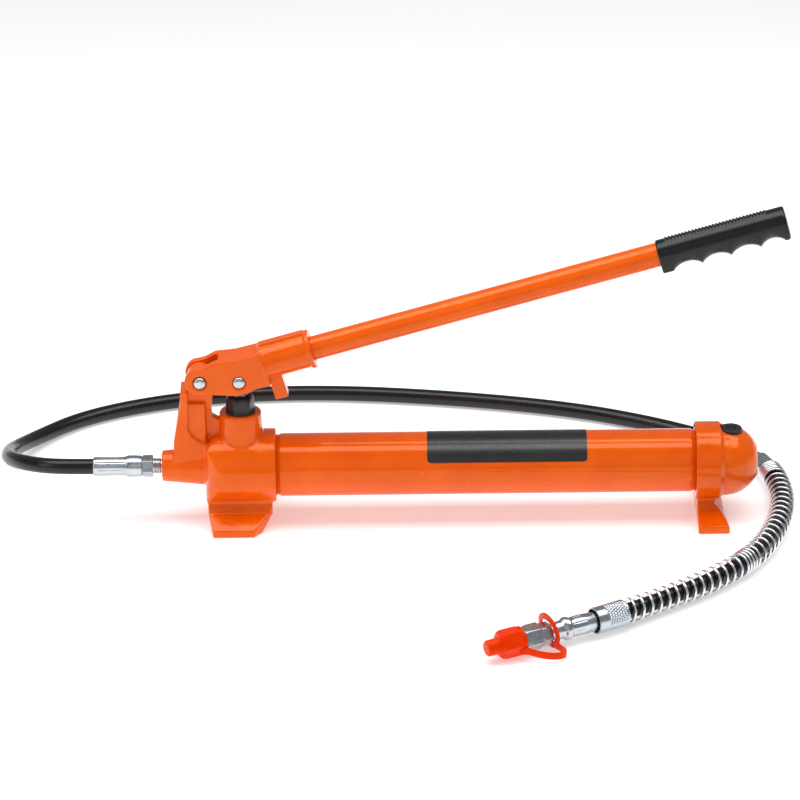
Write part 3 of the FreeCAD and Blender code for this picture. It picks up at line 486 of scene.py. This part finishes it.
def guard_wire():
    """The open-wound wire guard: wide turns near the coupler and a few tight ones on the bend."""
    wire_radius = 0.0013
    coil_radius = 0.0120 - wire_radius
    open_pitch, bend_pitch, end_pitch = 0.0101, 0.0045, 0.0032
    bend_middle, bend_reach = 0.196, 0.009
    end_length = 0.012
    steps_per_turn = 28
    places = []
    angle = 0.0
    back = SLEEVE_START - 0.012
    while back < GUARD_START + 0.006:
        here, forward, up, side = hose_line.at(back)
        places.append(here + (up * math.cos(angle) + side * math.sin(angle)) * coil_radius)
        pitch = open_pitch
        if abs(back - bend_middle) < bend_reach:
            pitch = bend_pitch
        if back > GUARD_START - end_length:
            pitch = end_pitch
        angle += math.tau / steps_per_turn
        back += pitch / steps_per_turn
    curve = bpy.data.curves.new("guard_wire", "CURVE")
    curve.dimensions = "3D"
    curve.bevel_depth = wire_radius
    curve.bevel_resolution = 3
    curve.use_fill_caps = True
    spline = curve.splines.new("POLY")
    spline.points.add(len(places) - 1)
    for point, place in zip(spline.points, places):
        point.co = (*place, 1)
    return new_object("guard_wire", curve)


def sleeve():
    """The rolled sleeve: plain towards the coupler, diamond knurl towards the guard, a lock seam."""
    knurl_start, knurl_end, knurl_depth, knurl_lead = 0.0185, 0.0403, 0.00042, 0.0017
    plain_from, plain_to = 3.6, 4.6      # the stretch around that is left without knurl

    def shape(angle, back, radius):
        if radius < 0.0115:
            return radius
        seam = 0.0005 * math.exp(-((angle - 2.6) / 0.05) ** 2)
        ramp = min(max((back - knurl_start) / 0.002, 0), 1) * min(max((knurl_end - back) / 0.001, 0), 1)
        twist = back / knurl_lead
        knurl = abs(math.sin(angle * 15 + twist)) + abs(math.sin(angle * 15 - twist))
        plain = plain_from < angle < plain_to
        return radius + seam - ramp * knurl_depth * (2 - knurl) * (0 if plain else 1)
    profile = wall(SLEEVE_END, SLEEVE_START, 0.01235, 0.0112, 110)
    return along_hose("guard_sleeve_rolled", profile, shape, 180, 0)


def cuff():
    """The rolled cuff at the guard's far end, with its lock seam."""
    def shape(angle, back, radius):
        return radius + (0.00025 * math.exp(-((angle - 1.2) / 0.06) ** 2) if radius > 0.009 else 0)
    profile = wall(GUARD_START - 0.004, CUFF_START, 0.0102, 0.0079, 30)
    return along_hose("guard_cuff_rolled", profile, shape)


def crimped(radius_low, radius_high, start, end):
    """A shape with eight shallow crimp marks between two distances."""
    def shape(angle, along, radius):
        if not (start < along < end and radius > radius_low):
            return radius
        fade = min((along - start) / 0.003, (end - along) / 0.003, 1)
        mark = abs(math.sin(angle * 4)) ** 0.35
        return radius - (radius_high - radius_low) * 0.5 * fade * (1 - mark) - 0.00012 * fade * mark
    return shape


guard = finish_piece(guard_wire(), "guard_spring")
sleeve_piece = finish_piece(sleeve(), "guard_sleeve")
cuff_piece = finish_piece(cuff(), "guard_cuff")

PORT_FACE = Vector((-0.0755, 0, AXIS_HEIGHT))
nipple = turned("outlet_nipple_turned", [
    (-0.018, 0.0064), (0.0012, 0.0064), (0.0013, 0.0072), (0.0022, 0.0076), (0.0029, 0.0070),
    (0.0036, 0.0076), (0.0043, 0.0070), (0.0050, 0.0076), (0.0057, 0.0070), (0.0064, 0.0076),
    (0.0071, 0.0070), (0.0080, 0.0074), (0.0083, 0.0074)], PORT_FACE, -X_AXIS, edge=0.0001)
nipple_hexagon = turned("outlet_hexagon", [
    (0.0082, 0.0092), (0.0090, 0.0106), (0.0178, 0.0106), (0.0187, 0.0094)],
    PORT_FACE, -X_AXIS, hexagonal(0.0212, math.radians(20)), 144)
front_ferrule = turned("front_ferrule_crimped", [
    (0.0187, 0.0088), (0.0196, 0.0100), (0.0260, 0.0104), (0.0325, 0.0104), (0.0345, 0.0093),
    (0.0390, 0.0090), (0.0440, 0.0091), (0.0500, 0.0092), (0.0560, 0.0093), (0.0610, 0.0092),
    (0.0645, 0.0089), (0.0653, 0.0084), (0.0653, 0.0076)],
    PORT_FACE, -X_AXIS, crimped(0.0086, 0.0098, 0.034, 0.0645), 144)
finish_piece(front_ferrule, "front_ferrule")
finish_piece(nipple, "outlet_nipple")
paint(nipple_hexagon, FINISHES["zinc"])
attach(nipple_hexagon, "pump")

rear_ferrule = turned("rear_ferrule_crimped", [
    (-0.0160, 0.0077), (-0.0158, 0.0088), (-0.0150, 0.0092), (0.0004, 0.0093), (0.0010, 0.0095),
    (0.0060, 0.0097), (0.0120, 0.0096), (0.0158, 0.0092), (0.0172, 0.0096), (0.0180, 0.0106),
    (0.0200, 0.0108), (0.0225, 0.0104), (0.0240, 0.0090), (0.0265, 0.0086), (0.0330, 0.0084),
    (0.0330, 0.0060)], HOSE_END, COUPLER_AXIS, crimped(0.0088, 0.0102, 0.0006, 0.0160), 144)
finish_piece(rear_ferrule, "rear_ferrule")
small_hexagon = turned("coupler_small_hexagon", [
    (0.0331, 0.0074), (0.0372, 0.0078), (0.0374, 0.0096), (0.0382, 0.0110), (0.0466, 0.0110),
    (0.0474, 0.0098)],
    HOSE_END, COUPLER_AXIS, hexagonal(0.0220, math.radians(55)), 144, near=NEAR_SIDE)
finish_piece(small_hexagon, "coupler_body")
large_hexagon = turned("coupler_large_hexagon", [
    (0.0476, 0.0112), (0.0488, 0.0126), (0.0600, 0.0126), (0.0646, 0.0112)],
    HOSE_END, COUPLER_AXIS, hexagonal(0.0252, math.radians(55)), 144, near=NEAR_SIDE)
finish_piece(large_hexagon, "coupler_nut")


def coupler_thread():
    """The coupler's male thread, which the dust cap covers."""
    profile = [(0.0610, 0.0060), (0.0648, 0.0060), (0.0648, 0.0078)]
    for turn in range(9):
        profile += [(0.0652 + turn * 0.0014, 0.0072), (0.0659 + turn * 0.0014, 0.0080)]
    profile += [(0.0790, 0.0072), (0.0792, 0.0028)]
    return turned("coupler_thread", profile, HOSE_END, COUPLER_AXIS, edge=0)


finish_piece(coupler_thread(), "coupler_nipple")


def dust_cap():
    """Hexagonal cap with a stepped shoulder and a finger nub, hollow over the thread."""
    hexagon = hexagonal(0.0272, math.radians(65))

    def shape(angle, along, radius):
        return hexagon(angle, along, radius) if 0.0678 < along < 0.0885 and radius > 0.0105 else radius
    profile = [
        (0.0806, 0.0010), (0.0806, 0.0082), (0.0655, 0.0083), (0.0655, 0.0122), (0.0662, 0.0130),
        (0.0677, 0.0130), (0.0679, 0.0128), (0.0686, 0.0136), (0.0850, 0.0136), (0.0874, 0.0126),
        (0.0883, 0.0112), (0.0886, 0.0098), (0.0890, 0.0080), (0.0898, 0.0077), (0.1002, 0.0074),
        (0.1014, 0.0066), (0.1020, 0.0050), (0.1017, 0.0010)]
    return turned("dust_cap_moulded", profile, HOSE_END, COUPLER_AXIS, shape, 144, near=NEAR_SIDE,
                  edge=0.0005)


cap_piece = finish_piece(dust_cap(), "dust_cap")


def strap_band():
    """One flat moulded strap: a loop round the neck, out on the near side, and along to the cap."""
    def at(near, up, along):
        return HOSE_END + NEAR_SIDE * near + Z_AXIS * up + COUPLER_AXIS * along
    centres, wides, thins = [], [], []
    loop_steps = 48
    for index in range(loop_steps + 1):
        angle = math.radians(-58 + 346 * index / loop_steps)
        slack = 0.5 + 0.5 * math.cos(angle - math.radians(110))
        radius = 0.0116 + 0.0044 * slack     # the loop is loosest above and beyond the neck
        direction = NEAR_SIDE * math.cos(angle) + Z_AXIS * math.sin(angle)
        centres.append(at(0, 0.0002, 0.0350 + 0.0045 * slack ** 2) + direction * radius)
        wides.append(direction)
        thins.append(COUPLER_AXIS)
    loop = (centres, wides, thins, 0.0030, 0.0012)
    tail_points = [at(0.0060, -0.0095, 0.0350), at(0.0140, -0.0098, 0.0335), at(0.0260, -0.0094, 0.0330),
                   at(0.0300, -0.0088, 0.0410), at(0.0265, -0.0078, 0.0520), at(0.0190, -0.0065, 0.0610),
                   at(0.0125, -0.0050, 0.0665), at(0.0120, -0.0045, 0.0720)]
    smooth = centre_line([tuple(point) for point in tail_points])
    tail_centres, tail_wides, tail_thins = [], [], []
    for index, point in enumerate(smooth):
        before = smooth[max(index - 1, 0)]
        after = smooth[min(index + 1, len(smooth) - 1)]
        forward = (after - before).normalized()
        wide = (Z_AXIS - forward * forward.z).normalized()
        tail_centres.append(point)
        tail_wides.append(wide)
        tail_thins.append(forward.cross(wide))
    tail = (tail_centres, tail_wides, tail_thins, 0.0034, 0.0011)
    points, faces = [], []
    around = 16
    for centres, wides, thins, half_width, half_thick in (loop, tail):
        start = len(points)
        for centre, wide, thin in zip(centres, wides, thins):
            for step in range(around):
                angle = math.tau * step / around
                c, s = math.cos(angle), math.sin(angle)
                x = math.copysign(abs(c) ** 0.45, c) * half_width
                y = math.copysign(abs(s) ** 0.45, s) * half_thick
                points.append(centre + wide * x + thin * y)
        faces += [tuple(start + corner for corner in face)
                  for face in ring_faces(len(centres), around, True, True)]
    return mesh_object("dust_cap_band", points, faces, 60)


strap = strap_band()
paint(strap, FINISHES["cap_plastic"])
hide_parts("dust_cap_strap")
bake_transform(strap)

finish_piece(hose, "hose")


# ---------------------------------------------------------------------------------------------
# Castings: the CAD solids with every edge and corner rounded as a mould leaves it
# ---------------------------------------------------------------------------------------------
def casting(name, node, voxel, rounds):
    """The node's CAD mesh remeshed to voxels of one size and smoothed a number of rounds."""
    obj = new_object(name, frame["nodes"][node].data.copy())
    remesh = obj.modifiers.new("remesh", "REMESH")
    remesh.mode = "VOXEL"
    remesh.voxel_size = voxel
    smooth = obj.modifiers.new("smooth", "SMOOTH")
    smooth.factor = 0.5
    smooth.iterations = rounds
    view_layer = bpy.context.view_layer
    view_layer.update()
    mesh = bpy.data.meshes.new_from_object(obj.evaluated_get(bpy.context.evaluated_depsgraph_get()))
    obj.modifiers.clear()
    obj.data = mesh
    mesh.shade_smooth()
    return finish_piece(obj, node)


casting("front_casting", "pump_body", 0.0009, 9)
casting("rear_casting", "rear_cap", 0.0009, 4)
casting("lever_cast", "lever_casting", 0.0007, 6)


# ---------------------------------------------------------------------------------------------
# Reservoir tube, its plate and the fill plug
# ---------------------------------------------------------------------------------------------
def reservoir():
    """The painted tube, with the dark groove where each end goes into its casting."""
    outer, groove, bore = 0.0300, 0.0287, 0.0275
    profile = [(0.0212, groove), (0.0352, groove), (0.0362, 0.0294), (0.0372, outer - 0.0002)]
    profile += [(0.0382, outer)]
    profile += [(0.0382 + (0.4245 - 0.0382) * i / 60, outer) for i in range(1, 60)]
    profile += [(0.4245, outer), (0.4256, outer - 0.0002), (0.4268, 0.0294), (0.4280, groove)]
    profile += [(0.4418, groove)]
    profile += [(0.4418 + (0.0212 - 0.4418) * i / 8, bore) for i in range(9)]
    return turned("reservoir_painted", profile, (0, 0, AXIS_HEIGHT), X_AXIS, None, 160, True, edge=0)


finish_piece(reservoir(), "reservoir_tube", TUBE_PAINT)


def plate():
    """The blank plate: a thin film wrapped over the tube, with round corners."""
    length, start, radius = 0.151, 0.176, 0.0300
    half_wrap = math.radians(65)
    corner = 0.003
    columns, rows = 76, 48
    points, faces = [], []
    for layer, height in ((0, 0.00006), (1, 0.00034)):
        for row in range(rows + 1):
            v = -1 + 2 * row / rows
            arc = v * half_wrap * radius
            for column in range(columns + 1):
                u = -1 + 2 * column / columns
                half_length = length / 2
                gap = half_wrap * radius - abs(arc)
                inset = corner - math.sqrt(max(corner ** 2 - max(corner - gap, 0) ** 2, 0))
                x = start + half_length + u * (half_length - inset)
                angle = arc / radius
                lift = radius + height
                points.append(Vector((x, math.sin(angle) * lift, AXIS_HEIGHT + math.cos(angle) * lift)))
    across = columns + 1
    layer_size = across * (rows + 1)
    for row in range(rows):
        for column in range(columns):
            a = row * across + column
            quad = (a, a + 1, a + 1 + across, a + across)
            faces.append(tuple(reversed(quad)))
            faces.append(tuple(layer_size + corner_index for corner_index in quad))
    rim = list(range(columns))
    rim += [columns + row * across for row in range(rows)]
    rim += [rows * across + columns - column for column in range(columns)]
    rim += [(rows - row) * across for row in range(rows)]
    for first, second in zip(rim, rim[1:] + rim[:1]):
        faces.append((first, second, layer_size + second, layer_size + first))
    return mesh_object("blank_plate", points, faces, 50)


finish_piece(plate(), "label")

plug_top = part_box("fill_plug")[1].z
plug_place = Vector((0.464, 0, plug_top - 0.0045))
plug = turned("fill_plug_turned", [
    (-0.0042, 0.0068), (0.0012, 0.0068), (0.0014, 0.0103), (0.0028, 0.0105), (0.0040, 0.0101),
    (0.0045, 0.0092), (0.0045, 0.0056), (0.0041, 0.0050), (0.0030, 0.0048), (0.0028, 0.0010)],
    plug_place, Z_AXIS, edge=0.0002)
finish_piece(plug, "fill_plug")


# ---------------------------------------------------------------------------------------------
# Gland nut, plunger, lever pins
# ---------------------------------------------------------------------------------------------
BOSS_TOP = 0.1105
gland_hexagon = hexagonal(0.0278, math.radians(12))


def gland_shape(angle, along, radius):
    return gland_hexagon(angle, along, radius) if along > 0.0022 and radius > 0.0112 else radius


gland = turned("gland_nut_turned", [
    (-0.0105, 0.0084), (-0.0105, 0.0108), (-0.0002, 0.0108), (0.0001, 0.0136), (0.0008, 0.0142),
    (0.0018, 0.0142), (0.0024, 0.0134), (0.0030, 0.0139), (0.0118, 0.0139), (0.0142, 0.0130),
    (0.0160, 0.0117), (0.0168, 0.0106), (0.0169, 0.0096), (0.0146, 0.0094), (0.0146, 0.0084)],
    (0, 0, BOSS_TOP), Z_AXIS, gland_shape, 144, True)
finish_piece(gland, "gland_nut")


def pin(name, at_x, node):
    """A pin with a domed, slightly dished end and a polished chamfer."""
    profile = [
        (-0.0169, 0.0006), (-0.0170, 0.0022), (-0.0167, 0.0036), (-0.0160, 0.0050),
        (-0.0150, 0.0058), (-0.0140, 0.0060), (0.0156, 0.0060), (0.0157, 0.0052), (0.0169, 0.0052),
        (0.0170, 0.0060), (0.0182, 0.0060), (0.0192, 0.0052), (0.0194, 0.0006)]
    return finish_piece(turned(name, profile, (at_x, 0, PIN_HEIGHT), Y_AXIS, around=72, edge=0.0001), node)


pin("pivot_pin_turned", -ARM_LENGTH, "pivot_pin")
pin("plunger_pin_turned", 0.0, "plunger_pin")


# ---------------------------------------------------------------------------------------------
# Handle tube and grip
# ---------------------------------------------------------------------------------------------
HANDLE_AXIS = Vector((math.cos(HANDLE_ANGLE), 0, math.sin(HANDLE_ANGLE)))
HANDLE_UP = Vector((-math.sin(HANDLE_ANGLE), 0, math.cos(HANDLE_ANGLE)))
HANDLE_START = Vector((-ARM_LENGTH, 0, PIN_HEIGHT)) - HANDLE_UP * HANDLE_DROP
GRIP_START = 0.4465
GRIP_LENGTH = 0.123

handle_profile = [(0.0684, 0.0108), (0.0690, 0.0115)]
handle_profile += [(0.069 + (0.446 - 0.069) * i / 50, 0.0115) for i in range(1, 50)]
handle_profile += [(0.4480, 0.0115), (0.4486, 0.0085), (0.5600, 0.0085), (0.5615, 0.0070)]
finish_piece(turned("handle_painted", handle_profile, HANDLE_START, HANDLE_AXIS, None, 96, edge=0),
             "handle_tube", TUBE_PAINT)


def grip():
    """The rubber grip: round crown with a toothed spine, squarer heel with four finger hollows."""
    ridges = [0.4568, 0.4844, 0.5122, 0.5407, 0.5640]
    spine_start, spine_end, teeth = 0.4550, 0.5530, 30
    around = 72

    def hollow(s):
        for low, high in zip(ridges, ridges[1:]):
            if low < s < high:
                share = 2 * (s - low) / (high - low) - 1
                return (1 - share * share) ** 0.85
        return 0.0

    def section(s, shrink):
        deep = hollow(s)
        depth = 0.0170 - 0.0038 * deep
        corner = 0.40 + 0.60 * deep
        tooth = 0.0
        if spine_start < s < spine_end:
            phase = (s - spine_start) / (spine_end - spine_start) * teeth % 1
            tooth = 0.0018 * (1 - abs(2 * phase - 1))
        ring = []
        for step in range(around):
            angle = math.tau * step / around
            c, n = math.cos(angle), math.sin(angle)
            if n >= 0:
                side, rise = 0.0135 * c, 0.0135 * n
                spine = max(0, 1 - (side / 0.0046) ** 4) if n > 0.7 else 0
                rise += tooth * spine
            else:
                side = 0.0135 * math.copysign(abs(c) ** corner, c) * (1 - 0.05 * abs(n))
                rise = -depth * abs(n) ** corner
            ring.append(HANDLE_START + HANDLE_AXIS * s
                        + Y_AXIS * (side * shrink) + HANDLE_UP * (rise * shrink))
        return ring

    points = []
    mouth = [(0.0030, 0.66), (0.0006, 0.66), (0.0, 0.86), (0.0, 0.95), (0.0006, 0.985), (0.0018, 1.0)]
    stations = [(GRIP_START + s, shrink) for s, shrink in mouth]
    count = 360
    body_start, body_end = GRIP_START + 0.0024, GRIP_START + GRIP_LENGTH - 0.003
    stations += [(body_start + (body_end - body_start) * i / count, 1.0) for i in range(count + 1)]
    stations += [(GRIP_START + GRIP_LENGTH - 0.0014, 0.985), (GRIP_START + GRIP_LENGTH - 0.0004, 0.94),
                 (GRIP_START + GRIP_LENGTH, 0.86), (GRIP_START + GRIP_LENGTH + 0.0003, 0.45)]
    for s, shrink in stations:
        points += section(s, shrink)
    obj = mesh_object("grip_moulded", points, ring_faces(len(stations), around, True, True), 70)
    return finish_piece(obj, "handle_grip")


grip()


# ---------------------------------------------------------------------------------------------
# Release knob on the far side
# ---------------------------------------------------------------------------------------------
def knob():
    """A fluted knob with a domed face."""
    def shape(angle, along, radius):
        return radius - 0.0016 * (0.5 - 0.5 * math.cos(angle * 10)) ** 2 if radius > 0.0105 else radius
    profile = [
        (0.0404, 0.0051), (0.0404, 0.0072), (0.0412, 0.0076), (0.0419, 0.0078), (0.0420, 0.0112),
        (0.0428, 0.0127), (0.0440, 0.0130), (0.0530, 0.0130), (0.0548, 0.0124), (0.0558, 0.0108),
        (0.0562, 0.0080), (0.0556, 0.0070), (0.0553, 0.0010)]
    return turned("release_knob_moulded", profile, (0.010, 0, AXIS_HEIGHT), Y_AXIS, shape, 160)


finish_piece(knob(), "release_knob")


# ---------------------------------------------------------------------------------------------
# Floor and light
# ---------------------------------------------------------------------------------------------
def studio():
    """A pale floor, a dim surround, a long box straight above and two large soft lights."""
    floor_size, floor_height = 40, -0.0005
    bpy.ops.mesh.primitive_plane_add(size=floor_size, location=(0, 0, floor_height))
    floor = bpy.context.object
    floor.name = "floor"
    pale = Surface("pale_floor", Roughness=0.7, Emission_Color=(1, 1, 1, 1),
                   Emission_Strength=0.36)
    speck = pale.noise(4, 3)
    pale.drive("Base Color", pale.ramp(speck, 0.3, 0.7, [(0.94, 0.94, 0.94), (0.96, 0.96, 0.96)]))
    paint(floor, pale.material)
    world = bpy.data.worlds.new("surround")
    bpy.context.scene.world = world
    world.use_nodes = True
    world.node_tree.nodes["Background"].inputs["Color"].default_value = (1, 1, 1, 1)
    world.node_tree.nodes["Background"].inputs["Strength"].default_value = 0.28
    for name, place, aim, width, height, power in (
            ("softbox_top", (0.15, 0, 1.6), (0.15, 0.0001, 0), 3.0, 1.0, 33),
            ("softbox_front", (0.1, -2.6, 1.5), (0.15, 0, 0.05), 3.0, 2.0, 5),
            ("softbox_left", (-1.5, -0.8, 0.8), (0.1, 0, 0.05), 0.7, 0.9, 3)):
        data = bpy.data.lights.new(name, "AREA")
        data.shape = "RECTANGLE"
        data.size = width
        data.size_y = height
        data.energy = power
        light = new_object(name, data)
        light.location = place
        light.rotation_euler = (Vector(aim) - Vector(place)).to_track_quat("-Z", "Y").to_euler()


studio()
bpy.context.scene.view_settings.view_transform = "Standard"

bpy.context.view_layer.update()
